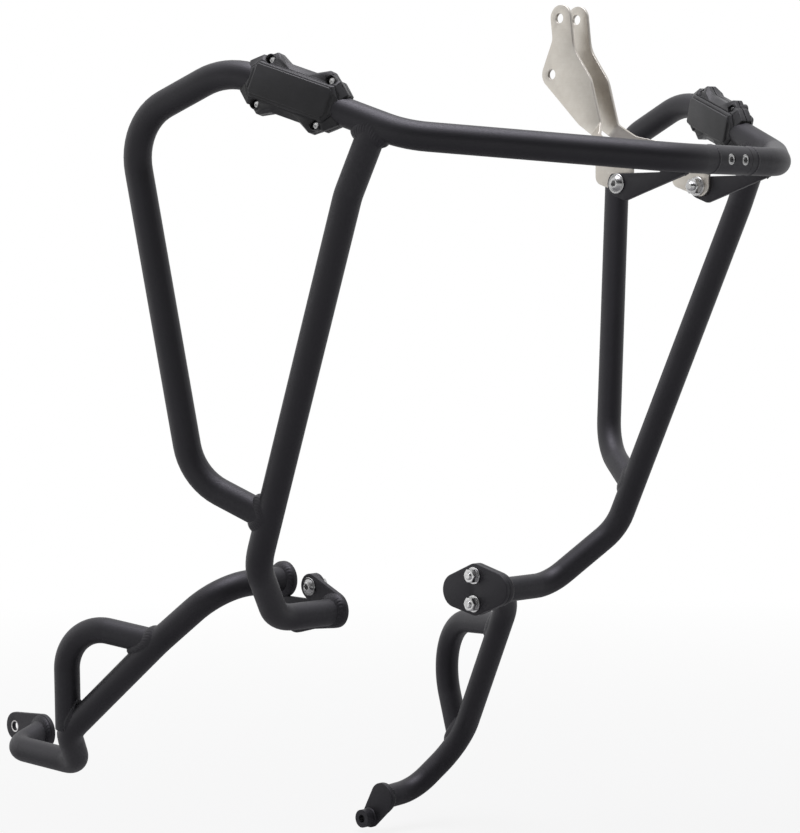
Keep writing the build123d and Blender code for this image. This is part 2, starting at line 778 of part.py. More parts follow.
# Weld beads of the upper frame: strut to loop, loop to strut, strut to flange, lug to bar, seam
grown = tube_radius + weld_leg
for side, sign in signs.items():
    loop_run = rod(loops[side][1:4], loop_bend_radii[1:2], tube_radius)
    loop_run_grown = rod(loops[side][1:4], loop_bend_radii[1:2], grown)
    strut_top = rod(struts[side][0:3], strut_bend_radii[0:1], tube_radius)
    strut_top_grown = rod(struts[side][0:3], strut_bend_radii[0:1], grown)
    loop_foot = rod(loops[side][4:7], loop_bend_radii[4:5], tube_radius)
    loop_foot_grown = rod(loops[side][4:7], loop_bend_radii[4:5], grown)
    strut_run = rod(struts[side][1:3], [], tube_radius)
    strut_run_grown = rod(struts[side][1:3], [], grown)
    strut_foot = rod(struts[side][3:5], [], tube_radius)
    strut_foot_grown = rod(struts[side][3:5], [], grown)
    bar_run = rod(loops[side][0:3], loop_bend_radii[0:1], tube_radius)
    bar_run_grown = rod(loops[side][0:3], loop_bend_radii[0:1], grown)
    seam = rod([Vector(bar_x, y, bar_z) for y in (-60, 60)], [], tube_radius)
    seam_grown = rod([Vector(bar_x, y, bar_z) for y in (-60, 60)], [], tube_radius + seam_height)
    foot_middle = (flange_x, sign * (flange_face_y + weld_leg / 2), flange_z)
    lug_core = extrude(lug_faces[side], amount=-sign * (plate_thickness + weld_leg))
    lug_core = lug_core + extrude(lug_faces[side], amount=sign * weld_leg)
    lug_middle = (bar_x, sign * (lug_inner_y + plate_thickness / 2), bar_z)
    lug_slab = slab(lug_middle, 8 * tube_diameter, plate_thickness)
    foot_slab = slab(foot_middle, 4 * tube_diameter, weld_leg)
    seam_slab = slab((bar_x, seam_y[side], bar_z), 4 * tube_diameter, seam_width)
    beads = [
        (loop_run_grown & strut_top_grown) - loop_run - strut_top,
        (loop_foot_grown & strut_run_grown) - loop_foot - strut_run,
        (strut_foot_grown & foot_slab) - strut_foot,
        (bar_run_grown & lug_core) - bar_run - lug_slab,
        (seam_grown & seam_slab) - seam,
    ]
    with BuildPart() as frame_welds:
        for bead in beads:
            add(bead)
    frame_welds.part.label = side + "_frame_welds"
    export_step(frame_welds.part, "parts/" + side + "_frame_welds.step")

# Weld beads of the lower bars: tube to both plates, brace to tube, boss to plate
for side, sign in signs.items():
    lower = rod(lowers[side], lower_radii[side], tube_radius)
    lower_grown = rod(lowers[side], lower_radii[side], grown)
    brace = rod(braces[side], brace_radii[side], tube_radius)
    brace_grown = rod(braces[side], brace_radii[side], grown)
    start = lowers[side][0]
    end = lower_ends[side]
    slim = rod(lowers[side], lower_radii[side], tube_radius + plate_weld_leg)
    start_middle = (start.X, sign * (stack_y + plate_weld_leg / 2), start.Z)
    end_middle = (end.X, sign * (rear_plate_face_y + plate_weld_leg / 2), end.Z)
    start_slab = slab(start_middle, 3 * tube_diameter, plate_weld_leg)
    end_slab = slab(end_middle, 3 * tube_diameter, plate_weld_leg)
    beads = [
        (slim & start_slab) - lower,
        (slim & end_slab) - lower,
        (lower_grown & brace_grown) - lower - brace,
    ]
    with BuildPart() as lower_welds:
        for bead in beads:
            add(bead)
        if side == "left":
            with BuildSketch(side_plane(boss_face_y)):
                with Locations(left_rear_hole):
                    Circle(boss_diameter / 2 + boss_weld_leg)
                    Circle(boss_diameter / 2, mode=Mode.SUBTRACT)
            extrude(amount=boss_weld_leg)
    lower_welds.part.label = side + "_lower_welds"
    export_step(lower_welds.part, "parts/" + side + "_lower_welds.step")
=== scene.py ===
from math import atan2, copysign, cos, pi, radians, sin

import bmesh
import bpy
from mathutils import Matrix, Vector
from mathutils.bvhtree import BVHTree


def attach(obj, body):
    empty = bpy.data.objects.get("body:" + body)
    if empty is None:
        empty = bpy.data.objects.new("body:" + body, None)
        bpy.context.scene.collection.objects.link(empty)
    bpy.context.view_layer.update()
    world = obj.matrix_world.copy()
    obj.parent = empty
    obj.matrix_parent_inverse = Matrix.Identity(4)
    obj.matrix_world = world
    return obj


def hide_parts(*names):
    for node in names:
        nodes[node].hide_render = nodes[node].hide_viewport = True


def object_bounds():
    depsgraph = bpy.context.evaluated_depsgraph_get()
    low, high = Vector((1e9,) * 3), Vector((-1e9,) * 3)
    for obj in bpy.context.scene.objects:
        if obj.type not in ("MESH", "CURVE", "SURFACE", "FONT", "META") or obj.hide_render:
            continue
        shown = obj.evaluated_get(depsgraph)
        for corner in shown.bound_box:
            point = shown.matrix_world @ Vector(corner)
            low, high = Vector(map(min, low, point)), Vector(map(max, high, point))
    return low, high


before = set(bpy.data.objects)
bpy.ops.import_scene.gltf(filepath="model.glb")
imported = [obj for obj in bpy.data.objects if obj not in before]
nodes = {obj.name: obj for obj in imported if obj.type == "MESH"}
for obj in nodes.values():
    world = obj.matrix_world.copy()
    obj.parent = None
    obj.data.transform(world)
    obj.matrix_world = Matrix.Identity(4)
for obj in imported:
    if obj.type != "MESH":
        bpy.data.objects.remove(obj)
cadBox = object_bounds()
scene = bpy.context.scene
sides = {"right": -1, "left": 1}
tiny = 1e-6
print("frame loaded with", len(nodes), "nodes")


# Small helpers

def mm(x, y, z):
    return Vector((x, y, z)) / 1000


def faced(origin, along, across=None):
    # matrix with its Z along an axis and its X as near to across as it can be
    z = along.normalized()
    x = z.orthogonal() if across is None else across - z * across.dot(z)
    x.normalize()
    turned = Matrix((x, z.cross(x), z)).transposed().to_4x4()
    turned.translation = origin
    return turned


def copyOfNode(name):
    bm = bmesh.new()
    bm.from_mesh(nodes[name].data)
    bmesh.ops.remove_doubles(bm, verts=bm.verts, dist=tiny)
    return bm


def addPiece(bm, name, finishes, nodeNames, sharpAngle=32):
    bmesh.ops.recalc_face_normals(bm, faces=bm.faces)
    mesh = bpy.data.meshes.new(name)
    bm.to_mesh(mesh)
    bm.free()
    for finish in finishes:
        mesh.materials.append(finish)
    mesh.shade_smooth()
    mesh.set_sharp_from_angle(angle=radians(sharpAngle))
    piece = bpy.data.objects.new(name, mesh)
    scene.collection.objects.link(piece)
    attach(piece, "root")
    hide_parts(*nodeNames)
    return piece


# Finishes

noiseLow, noiseHigh = 0.3, 0.7


def startFinish(name):
    finish = bpy.data.materials.new(name)
    finish.use_nodes = True
    tree = finish.node_tree
    spot = tree.nodes.new("ShaderNodeTexCoord").outputs["Object"]
    return finish, tree, tree.nodes["Principled BSDF"], spot


def stretched(tree, spot, scale, turn):
    mapping = tree.nodes.new("ShaderNodeMapping")
    mapping.inputs["Scale"].default_value = scale
    mapping.inputs["Rotation"].default_value = turn
    tree.links.new(spot, mapping.inputs["Vector"])
    return mapping.outputs["Vector"]


def noise(tree, spot, scale, detail=2.0, rough=0.5):
    node = tree.nodes.new("ShaderNodeTexNoise")
    node.inputs["Scale"].default_value = scale
    node.inputs["Detail"].default_value = detail
    node.inputs["Roughness"].default_value = rough
    tree.links.new(spot, node.inputs["Vector"])
    return node.outputs["Fac"]


def ranged(tree, source, low, high, lowIn=noiseLow, highIn=noiseHigh):
    node = tree.nodes.new("ShaderNodeMapRange")
    node.inputs["From Min"].default_value = lowIn
    node.inputs["From Max"].default_value = highIn
    node.inputs["To Min"].default_value = low
    node.inputs["To Max"].default_value = high
    tree.links.new(source, node.inputs["Value"])
    return node.outputs["Result"]


def blended(tree, source, first, second):
    node = tree.nodes.new("ShaderNodeValToRGB")
    node.color_ramp.elements[0].position = noiseLow
    node.color_ramp.elements[0].color = (*first, 1)
    node.color_ramp.elements[1].position = noiseHigh
    node.color_ramp.elements[1].color = (*second, 1)
    tree.links.new(source, node.inputs["Fac"])
    return node.outputs["Color"]


def bumped(tree, heights, shader):
    # each height is a texture output, a depth in metres and a strength
    under = None
    for source, depth, strength in heights:
        node = tree.nodes.new("ShaderNodeBump")
        node.inputs["Strength"].default_value = strength
        node.inputs["Distance"].default_value = depth
        tree.links.new(source, node.inputs["Height"])
        if under is not None:
            tree.links.new(under, node.inputs["Normal"])
        under = node.outputs["Normal"]
    tree.links.new(under, shader.inputs["Normal"])


def summed(tree, first, second, operation="ADD"):
    node = tree.nodes.new("ShaderNodeMath")
    node.operation = operation
    node.use_clamp = True
    tree.links.new(first, node.inputs[0])
    tree.links.new(second, node.inputs[1])
    return node.outputs["Value"]


def vectorStep(tree, operation, first, second=None):
    node = tree.nodes.new("ShaderNodeVectorMath")
    node.operation = operation
    tree.links.new(first, node.inputs[0])
    if second is not None:
        node.inputs[1].default_value = second
    return node.outputs["Value" if operation in ("LENGTH", "DOT_PRODUCT") else "Vector"]


def edgeWear(tree, spot, reach, scale):
    # one along sharp outer edges, broken up by a fine noise
    flat, least = 0.5, 0.25
    edge = tree.nodes.new("ShaderNodeNewGeometry").outputs["Pointiness"]
    rubbed = ranged(tree, edge, 0.0, 1.0, flat + reach, flat + 3 * reach)
    patchy = ranged(tree, noise(tree, spot, scale, detail=3.0), least, 1.0)
    return summed(tree, rubbed, patchy, "MULTIPLY")


def mixedColour(tree, share, first, second):
    node = tree.nodes.new("ShaderNodeMix")
    node.data_type = "RGBA"
    tree.links.new(share, node.inputs["Factor"])
    tree.links.new(first, node.inputs[6])
    node.inputs[7].default_value = (*second, 1)
    return node.outputs[2]


def mixedValue(tree, share, first, second):
    node = tree.nodes.new("ShaderNodeMix")
    tree.links.new(share, node.inputs["Factor"])
    tree.links.new(first, node.inputs[2])
    node.inputs[3].default_value = second
    return node.outputs[0]


powderValues = {
    "dark": (0.0088, 0.0087, 0.0100), "light": (0.0128, 0.0125, 0.0145), "worn": (0.022, 0.022, 0.024),
    "wearReach": 0.02, "wearScale": 320.0, "cloudScale": 26.0,
    "grainScale": 900.0, "grainDepth": 0.00003, "peelScale": 210.0, "peelDepth": 0.00005, "bump": 0.6,
    "smooth": 0.46, "rough": 0.57, "specular": 0.50, "tint": (0.94, 0.92, 1.0, 1.0),
    "bare": (0.62, 0.61, 0.60), "bareRough": 0.3,
    "bareMiddle": (-0.6303, 0.0, -0.7147), "bareReach": 0.0064, "bareBlur": 0.0003, "bareFacing": (0.7, 0.9),
}


def bareRing(tree, spot, values):
    # one close round the hole's axis on the plate's outer face, where the coat is off
    away = vectorStep(tree, "SUBTRACT", spot, values["bareMiddle"])
    reach = vectorStep(tree, "LENGTH", vectorStep(tree, "MULTIPLY", away, (1, 0, 1)))
    close = ranged(tree, reach, 1.0, 0.0, values["bareReach"] - values["bareBlur"], values["bareReach"])
    normal = tree.nodes.new("ShaderNodeTexCoord").outputs["Normal"]
    facing = vectorStep(tree, "DOT_PRODUCT", normal, (0, -1, 0))
    return summed(tree, close, ranged(tree, facing, 0.0, 1.0, *values["bareFacing"]), "MULTIPLY")


def powderFinish(name, values, bareHole=False):
    finish, tree, shader, spot = startFinish(name)
    cloud = noise(tree, spot, values["cloudScale"], detail=4.0)
    grain = noise(tree, spot, values["grainScale"])
    peel = noise(tree, spot, values["peelScale"])
    colour = blended(tree, cloud, values["dark"], values["light"])
    wear = edgeWear(tree, spot, values["wearReach"], values["wearScale"])
    colour = mixedColour(tree, wear, colour, values["worn"])
    rough = ranged(tree, grain, values["smooth"], values["rough"])
    if bareHole:
        bare = bareRing(tree, spot, values)
        colour = mixedColour(tree, bare, colour, values["bare"])
        rough = mixedValue(tree, bare, rough, values["bareRough"])
        tree.links.new(bare, shader.inputs["Metallic"])
    tree.links.new(colour, shader.inputs["Base Color"])
    tree.links.new(rough, shader.inputs["Roughness"])
    heights = [(peel, values["peelDepth"], values["bump"]), (grain, values["grainDepth"], values["bump"])]
    bumped(tree, heights, shader)
    shader.inputs["Specular IOR Level"].default_value = values["specular"]
    shader.inputs["Specular Tint"].default_value = values["tint"]
    return finish


sheetValues = {
    "dark": (0.532, 0.497, 0.448), "light": (0.572, 0.537, 0.488), "worn": (0.70, 0.68, 0.64),
    "wearReach": 0.015, "wearScale": 260.0, "stainScale": 18.0, "smooth": 0.36, "rough": 0.44,
    "lineScale": 70.0, "stretch": (1.0, 1.0, 18.0), "lean": 24.0, "lineDepth": 0.000004, "bump": 0.5,
}


def sheetFinish(name, values):
    finish, tree, shader, spot = startFinish(name)
    grainSpot = stretched(tree, spot, values["stretch"], (0, radians(values["lean"]), 0))
    lines = noise(tree, grainSpot, values["lineScale"], detail=5.0, rough=0.65)
    stain = noise(tree, spot, values["stainScale"], detail=3.0)
    colour = blended(tree, lines, values["dark"], values["light"])
    wear = edgeWear(tree, spot, values["wearReach"], values["wearScale"])
    colour = mixedColour(tree, wear, colour, values["worn"])
    tree.links.new(colour, shader.inputs["Base Color"])
    tree.links.new(ranged(tree, stain, values["smooth"], values["rough"]), shader.inputs["Roughness"])
    bumped(tree, [(lines, values["lineDepth"], values["bump"])], shader)
    shader.inputs["Metallic"].default_value = 1.0
    return finish


fixingValues = {
    "bright": {
        "dark": (0.34, 0.34, 0.34), "light": (0.52, 0.52, 0.52),
        "worn": (0.72, 0.72, 0.72), "rough": (0.20, 0.32),
    },
    # pad screw heads: the fixing metal made far lighter, a painted highlight for heads sunk in their pockets
    "head": {
        "dark": (0.86, 0.86, 0.86), "light": (0.94, 0.94, 0.94),
        "worn": (0.95, 0.95, 0.95), "rough": (0.26, 0.36),
    },
    # pad nuts and the pad screws' lower shanks: the fixing metal made black, painted shade for the pockets
    # they sit down in
    "black": {
        "dark": (0.030, 0.030, 0.031), "light": (0.050, 0.050, 0.052),
        "worn": (0.12, 0.12, 0.12), "rough": (0.34, 0.46),
    },
    "wearReach": 0.02, "wearScale": 500.0, "speckScale": 240.0, "speckDepth": 0.00001, "bump": 0.4,
}


def fixingFinish(name, values, look):
    finish, tree, shader, spot = startFinish(name)
    speck = noise(tree, spot, values["speckScale"], detail=4.0)
    colour = blended(tree, speck, look["dark"], look["light"])
    wear = edgeWear(tree, spot, values["wearReach"], values["wearScale"])
    colour = mixedColour(tree, wear, colour, look["worn"])
    tree.links.new(colour, shader.inputs["Base Color"])
    tree.links.new(ranged(tree, speck, *look["rough"]), shader.inputs["Roughness"])
    bumped(tree, [(speck, values["speckDepth"], values["bump"])], shader)
    shader.inputs["Metallic"].default_value = 1.0
    return finish


plasticValues = {
    "dark": (0.0460, 0.0462, 0.0475), "light": (0.0590, 0.0592, 0.0610), "worn": (0.068, 0.068, 0.070),
    "wearReach": 0.02, "wearScale": 400.0, "cloudScale": 60.0,
    "grainScale": 1500.0, "grainDepth": 0.00005, "bump": 0.6, "smooth": 0.38, "rough": 0.50, "specular": 0.28,
}


def plasticFinish(name, values):
    finish, tree, shader, spot = startFinish(name)
    cloud = noise(tree, spot, values["cloudScale"], detail=3.0)
    grain = noise(tree, spot, values["grainScale"], detail=3.0)
    colour = blended(tree, cloud, values["dark"], values["light"])
    wear = edgeWear(tree, spot, values["wearReach"], values["wearScale"])
    colour = mixedColour(tree, wear, colour, values["worn"])
    tree.links.new(colour, shader.inputs["Base Color"])
    tree.links.new(ranged(tree, grain, values["smooth"], values["rough"]), shader.inputs["Roughness"])
    bumped(tree, [(grain, values["grainDepth"], values["bump"])], shader)
    shader.inputs["Specular IOR Level"].default_value = values["specular"]
    return finish


powderCoat = powderFinish("powderCoat", powderValues)
powderBareHole = powderFinish("powderBareHole", powderValues, bareHole=True)
brushedSheet = sheetFinish("brushedSheet", sheetValues)
brightFixing = fixingFinish("brightFixing", fixingValues, fixingValues["bright"])
# painted highlight: the pad screw heads get a much lighter copy of the fixing metal
headPaintedHighlight = fixingFinish("headPaintedHighlight", fixingValues, fixingValues["head"])
# painted shade: a black copy of the fixing metal for the pad nuts and the screw shanks deep in the pockets
paintedShadeFixing = fixingFinish("paintedShadeFixing", fixingValues, fixingValues["black"])
padPlastic = plasticFinish("padPlastic", plasticValues)
slotFinishes = {
    "powder_coat": powderCoat, "stainless_sheet": brushedSheet,
    "bright_fixing": brightFixing, "pad_plastic": padPlastic,
}
fixingNodes = ("bolts", "washers", "nuts", "lap_screws", "pad_screws", "pad_nuts")
for name, node in nodes.items():
    slotName = "powder_coat"
    if name in fixingNodes:
        slotName = "bright_fixing"
    elif "bracket_plate" in name:
        slotName = "stainless_sheet"
    elif "_pad_" in name:
        slotName = "pad_plastic"
    node.data.materials.clear()
    node.data.materials.append(slotFinishes[slotName])
print("finishes made")


# Plates cut from sheet, with a rounded rim on both faces and round every hole

plateValues = {"rim": 0.0007, "sheetRim": 0.0004, "steps": 3, "facing": 0.3}


def softPlate(nodeName, radius, even):
    bm = copyOfNode(nodeName)
    for way in (1, -1):
        broad = [f for f in bm.faces if f.normal.y * way > plateValues["facing"]]
        chosen = set(broad)
        outward = {}
        for v in {v for f in broad for v in f.verts}:
            outward[v] = sum((f.normal for f in v.link_faces if f in chosen), Vector()).normalized()
        for v, normal in outward.items():
            v.co -= normal * radius
        for step in range(plateValues["steps"]):
            start, end = (pi / 2 * count / plateValues["steps"] for count in (step, step + 1))
            bmesh.ops.inset_region(
                bm, faces=broad, use_boundary=True, use_even_offset=even,
                thickness=radius * (cos(start) - cos(end)), depth=radius * (sin(end) - sin(start)),
            )
    return bm


for side in sides:
    for kind in ("upper_flange", "lower_plate", "rear_plate", "lug"):
        nodeName = side + "_" + kind
        finish = powderBareHole if nodeName == "right_rear_plate" else powderCoat
        bm = softPlate(nodeName, plateValues["rim"], kind != "lug")
        addPiece(bm, nodeName + "_dressed", [finish], [nodeName])
    nodeName = side + "_bracket_plate"
    bm = softPlate(nodeName, plateValues["sheetRim"], True)
    addPiece(bm, nodeName + "_dressed", [brushedSheet], [nodeName])
print("plates dressed")


# Slider pads: their values and their place on the tube

padValues = {
    "edge": 0.00035, "steps": 2, "flattest": 1.0, "shortest": 0.004, "sharpest": 14.0,
    # the height under which a pad screw's shank gets painted shade
    "groove": (13.3, 15.2), "grooveSlack": 0.01, "grooveDepth": 0.0018, "paintedShadeBelow": -0.004,
    "lip": [(4.1, 1), (5.1, 1), (5.1, 8), (4.9, 8.9), (4.5, 9.2), (4.2, 9.1), (4.1, 8.8), (4.1, 1)],
    "from": (-116.0, 312.8, -55.2), "to": (42.5, 254.6, -116.3), "reach": 70.5,
    "turn": {"right": 7.4, "left": 0.0}, "pitch": 1.0, "lift": 0.2, "ear": (30.2, 20.1), "seat": 2.0,
}


def padPlace(side):
    # the pad's own frame on its tube: X along the tube, Z out of the face
    sign, values = sides[side], padValues
    first, second = (mm(x, sign * y, z) for x, y, z in (values["from"], values["to"]))
    run = (second - first).normalized()
    out = Vector((0, 0, 1)).cross(run).normalized() * sign
    level = faced(first + run * values["reach"] / 1000, out, run * -sign)
    turned = Matrix.Rotation(radians(-values["turn"][side]), 4, "X")
    pitched = Matrix.Rotation(radians(-sign * values["pitch"]), 4, "Z")
    return level @ turned @ pitched @ Matrix.Translation(mm(0, values["lift"], 0))


# Turned shapes, from outlines of radius and height in millimetres

fixingShapes = {
    "steps": 48, "threadSteps": 24, "nutCone": 0.47, "nutSlope": 0.577, "washerHeight": 1.6,
    "bolt": {
        "outline": [
            (0, -20), (2.9, -20), (3.4, -19.5), (3.4, -13.2), (4, -13.2), (4, 0), (8.5, 0),
            (8.75, 0.25), (8.75, 1.05), (8.45, 1.38), (7.15, 1.45), (6.9, 1.75), (6.3, 2.39),
            (5.48, 3.25), (4.55, 3.99), (3.7, 4.48), (3.3, 4.6),
        ],
        "flats": 5.0, "lip": 4.42, "floor": 1.8,
        "thread": {"radius": 4.0, "depth": 0.6, "pitch": 1.25, "from": -19.6, "turns": 4},
    },
    "washer": [(4.2, 0), (8.5, 0), (8.75, 0.25), (8.75, 1.35), (8.5, 1.6), (4.2, 1.6), (4.2, 0)],
    "nut": {"flats": 13.0, "height": 6.5, "bore": 4.05},
    "lapScrew": {
        "outline": [
            (0, -16), (2.6, -16), (3, -15.6), (3, 0), (4.9, 0), (4.9, 5.1),
            (4.75, 5.6), (4.4, 5.92), (3.9, 6), (3.2, 6),
        ],
        "flats": 5.0, "lip": 5.8, "floor": 3.0,
    },
    "padScrew": {
        "outline": [
            (0, -10), (1.4, -10), (1.7, -9.7), (1.7, -6.4), (2, -6.4), (2, 0), (3.3, 0),
            (3.5, 0.2), (3.5, 1.7), (3.3, 2.3), (2.8, 2.7), (2.0, 2.8),
        ],
        "flats": 3.0, "lip": 2.66, "floor": 1.2,
        "thread": {"radius": 2.0, "depth": 0.3, "pitch": 0.7, "from": -9.6, "turns": 4},
    },
    "padNut": {"flats": 7.0, "height": 3.2, "bore": 2.05},
}


def turnedShape(outline):
    bm = bmesh.new()
    points = [bm.verts.new(mm(radius, 0, height)) for radius, height in outline]
    edges = [bm.edges.new(pair) for pair in zip(points, points[1:])]
    bmesh.ops.spin(
        bm, geom=points + edges, axis=(0, 0, 1), cent=(0, 0, 0), angle=2 * pi,
        steps=fixingShapes["steps"], use_merge=True,
    )
    bmesh.ops.remove_doubles(bm, verts=bm.verts, dist=tiny)
    return bm


def hexReach(v, flats):
    # how far a six-sided outline of this size reaches in a vertex's direction
    corner = (atan2(v.co.y, v.co.x) % (pi / 3)) - pi / 6
    return flats / 2000 / cos(corner)


def sinkSocket(bm, values):
    top = max(v.co.z for v in bm.verts)
    rim = [e for e in bm.edges if e.is_boundary and min(v.co.z for v in e.verts) > top - tiny]
    for height in (values["lip"], values["floor"]):
        grown = bmesh.ops.extrude_edge_only(bm, edges=rim)["geom"]
        rim = [g for g in grown if isinstance(g, bmesh.types.BMEdge)]
        for v in [g for g in grown if isinstance(g, bmesh.types.BMVert)]:
            reach = hexReach(v, values["flats"])
            around = v.co.xy.normalized() * reach
            v.co = (around.x, around.y, height / 1000)
    bmesh.ops.edgeloop_fill(bm, edges=rim)


def cutThread(bm, values):
    # a closed ridge wound up the shank, whose turns touch one another
    steps = fixingShapes["threadSteps"]
    low, root = values["from"], values["radius"] - values["depth"]
    outline = [(root, low), (values["radius"], low + values["pitch"] / 2), (root, low + values["pitch"])]
    points = [bm.verts.new(mm(radius, 0, height)) for radius, height in outline]
    edges = [bm.edges.new(pair) for pair in zip(points, points[1:] + points[:1])]
    made = bmesh.ops.spin(
        bm, geom=points + edges, axis=(0, 0, 1), cent=(0, 0, 0), angle=2 * pi * values["turns"],
        steps=steps * values["turns"], dvec=mm(0, 0, values["pitch"] / steps), use_merge=False,
    )["geom_last"]
    last = [g for g in made if isinstance(g, bmesh.types.BMVert)]
    for end in (points, last):
        bmesh.ops.contextual_create(bm, geom=end)


def screwShape(values):
    bm = turnedShape(values["outline"])
    sinkSocket(bm, values)
    if "thread" in values:
        cutThread(bm, values["thread"])
    return bm


def nutShape(values):
    # the flats meet a cone at each end, which leaves the curved chamfers
    flats, height, bore = values["flats"], values["height"], values["bore"]
    cone, wide = fixingShapes["nutCone"] * flats, 2 * flats
    radii = [bore, cone, wide]
    outline = [(radius, 0) for radius in radii] + [(radius, height) for radius in reversed(radii)]
    bm = turnedShape(outline + outline[:1])
    for v in bm.verts:
        if v.co.xy.length > flats / 1000:
            reach = hexReach(v, flats)
            drop = (reach - cone / 1000) * fixingShapes["nutSlope"]
            around = v.co.xy.normalized() * reach
            v.co = (around.x, around.y, drop if v.co.z < height / 2000 else height / 1000 - drop)
    return bm


def placedCopies(single, places):
    mesh = bpy.data.meshes.new("single")
    single.to_mesh(mesh)
    single.free()
    whole = bmesh.new()
    for place in places:
        before = len(whole.verts)
        whole.from_mesh(mesh)
        whole.verts.ensure_lookup_table()
        bmesh.ops.transform(whole, matrix=place, verts=whole.verts[before:])
    bpy.data.meshes.remove(mesh)
    return whole


# Slider pads with rounded edges, a slot under the face's rim and a lip round each screw pocket

def cutGroove(bm, place, way):
    # a slot round the pad, close under the rim of its face
    back = place.inverted()
    low, high = padValues["groove"]
    slack, depth = padValues["grooveSlack"], padValues["grooveDepth"]
    for height in (low, high):
        bmesh.ops.bisect_plane(
            bm, geom=bm.verts[:] + bm.edges[:] + bm.faces[:], dist=tiny,
            plane_co=place @ mm(0, 0, way * height), plane_no=place.to_3x3() @ Vector((0, 0, 1)),
        )
    band = []
    for face in bm.faces:
        heights = [(back @ v.co).z * way * 1000 for v in face.verts]
        if min(heights) > low - slack and max(heights) < high + slack:
            band.append(face)
    grown = bmesh.ops.extrude_face_region(bm, geom=band)["geom"]
    bmesh.ops.delete(bm, geom=[face for face in band if face.is_valid], context="FACES")
    for v in [g for g in grown if isinstance(g, bmesh.types.BMVert)]:
        x, y, z = back @ v.co
        v.co = place @ Vector((x - copysign(depth, x), y - copysign(depth, y), z))


earX, earY = padValues["ear"]
earPlaces = [Matrix.Translation(mm(x, y, 0)) for x in (-earX, earX) for y in (-earY, earY)]
for side in sides:
    for half in ("pad_outer", "pad_inner"):
        nodeName = side + "_" + half
        bm = copyOfNode(nodeName)
        flattest = radians(padValues["flattest"])
        bmesh.ops.dissolve_limit(bm, angle_limit=flattest, verts=bm.verts, edges=bm.edges)
        sharp = [
            e for e in bm.edges
            if len(e.link_faces) == 2 and e.calc_length() > padValues["shortest"]
            and e.calc_face_angle_signed() > radians(padValues["sharpest"])
        ]
        bmesh.ops.bevel(
            bm, geom=sharp, offset=padValues["edge"], offset_type="OFFSET", affect="EDGES",
            segments=padValues["steps"], profile=0.5, material=-1,
        )
        cutGroove(bm, padPlace(side), 1 if half == "pad_outer" else -1)
        if half == "pad_outer":
            lips = placedCopies(turnedShape(padValues["lip"]), [padPlace(side) @ ear for ear in earPlaces])
            lipMesh = bpy.data.meshes.new("lips")
            lips.to_mesh(lipMesh)
            lips.free()
            bm.from_mesh(lipMesh)
            bpy.data.meshes.remove(lipMesh)
        addPiece(bm, nodeName + "_rounded", [padPlastic], [nodeName])
print("pads rounded")


# Fixings at their places

boltPlaces = {
    "flange": {"right": [(-227, -534.7), (-227, -563.7)], "left": [(-222.5, -542.5), (-222.5, -571.5)]},
    "flangeHead": 117.0, "flangeNut": 107.0, "lug": (110.2, -154.5), "lugHead": 59.6, "lugNut": 51.6,
    "lapSeat": (194.7, -134.5), "lap": (-13.0, 6.5),
}
headPlaces, nutPlaces = [], []
forward = Vector((1, 0, 0))
for side, sign in sides.items():
    outward = Vector((0, sign, 0))
    flangeDepths = boltPlaces["flangeHead"], boltPlaces["flangeNut"]
    spots = [(*spot, *flangeDepths) for spot in boltPlaces["flange"][side]]
    spots.append((*boltPlaces["lug"], boltPlaces["lugHead"], boltPlaces["lugNut"]))
    for x, z, headY, nutY in spots:
        headPlaces.append(faced(mm(x, sign * headY, z), outward, forward))
        nutPlaces.append(faced(mm(x, sign * nutY, z), -outward, forward))
lapX, lapZ = boltPlaces["lapSeat"]
lapPlaces = [faced(mm(lapX, y, lapZ), forward, Vector((0, 1, 0))) for y in boltPlaces["lap"]]
padScrewPlaces, padNutPlaces = [], []
padNutDrop = -padValues["seat"] - fixingShapes["padNut"]["height"]
for side in sides:
    for ear in earPlaces:
        padScrewPlaces.append(padPlace(side) @ ear @ Matrix.Translation(mm(0, 0, padValues["seat"])))
        padNutPlaces.append(padPlace(side) @ ear @ Matrix.Translation(mm(0, 0, padNutDrop)))

washerLift = Matrix.Translation(mm(0, 0, fixingShapes["washerHeight"]))
fixingPieces = {
    "bolts": (screwShape(fixingShapes["bolt"]), headPlaces),
    "washers": (turnedShape(fixingShapes["washer"]), nutPlaces),
    "nuts": (nutShape(fixingShapes["nut"]), [place @ washerLift for place in nutPlaces]),
    "lap_screws": (screwShape(fixingShapes["lapScrew"]), lapPlaces),
    "pad_screws": (screwShape(fixingShapes["padScrew"]), padScrewPlaces),
    "pad_nuts": (nutShape(fixingShapes["padNut"]), padNutPlaces),
}
for name, (shape, places) in fixingPieces.items():
    # pad nuts get painted pocket shade; on each pad screw the head gets a painted highlight and the shank low
    # in the pocket gets painted shade
    finishes = [paintedShadeFixing] if name == "pad_nuts" else [brightFixing]
    if name == "pad_screws":
        finishes = [headPaintedHighlight, paintedShadeFixing]
        for face in shape.faces:
            face.material_index = 1 if face.calc_center_median().z < padValues["paintedShadeBelow"] else 0
    bm = placedCopies(shape, places)
    addPiece(bm, name + "_finished", finishes, [name], sharpAngle=28)
print("fixings turned")


# Weld beads: a fillet between two toes, with the puddle's ripples across it

weldValues = {
    "pitch": 0.0027, "ringsPerRipple": 5, "curvePoints": 9, "ripple": 0.55, "lead": 0.7,
    "fewest": 3, "endTaper": 0.2, "sink": 0.00015, "root": 0.001, "rayInset": 0.015,
    "jointPoints": 180, "ringPoints": 120, "lugPoints": 30, "sharpAngle": 60,
    "tube": {"leg": 0.0058, "bulge": 0.0010},
    "plate": {"leg": 0.0050, "bulge": 0.0008},
    "lug": {"leg": 0.0034, "bulge": 0.0006},
    "boss": {"leg": 0.0011, "bulge": 0.0002},
    "seam": {"leg": 0.0017, "bulge": 0.0007},
}
tubeRadius = 0.0127


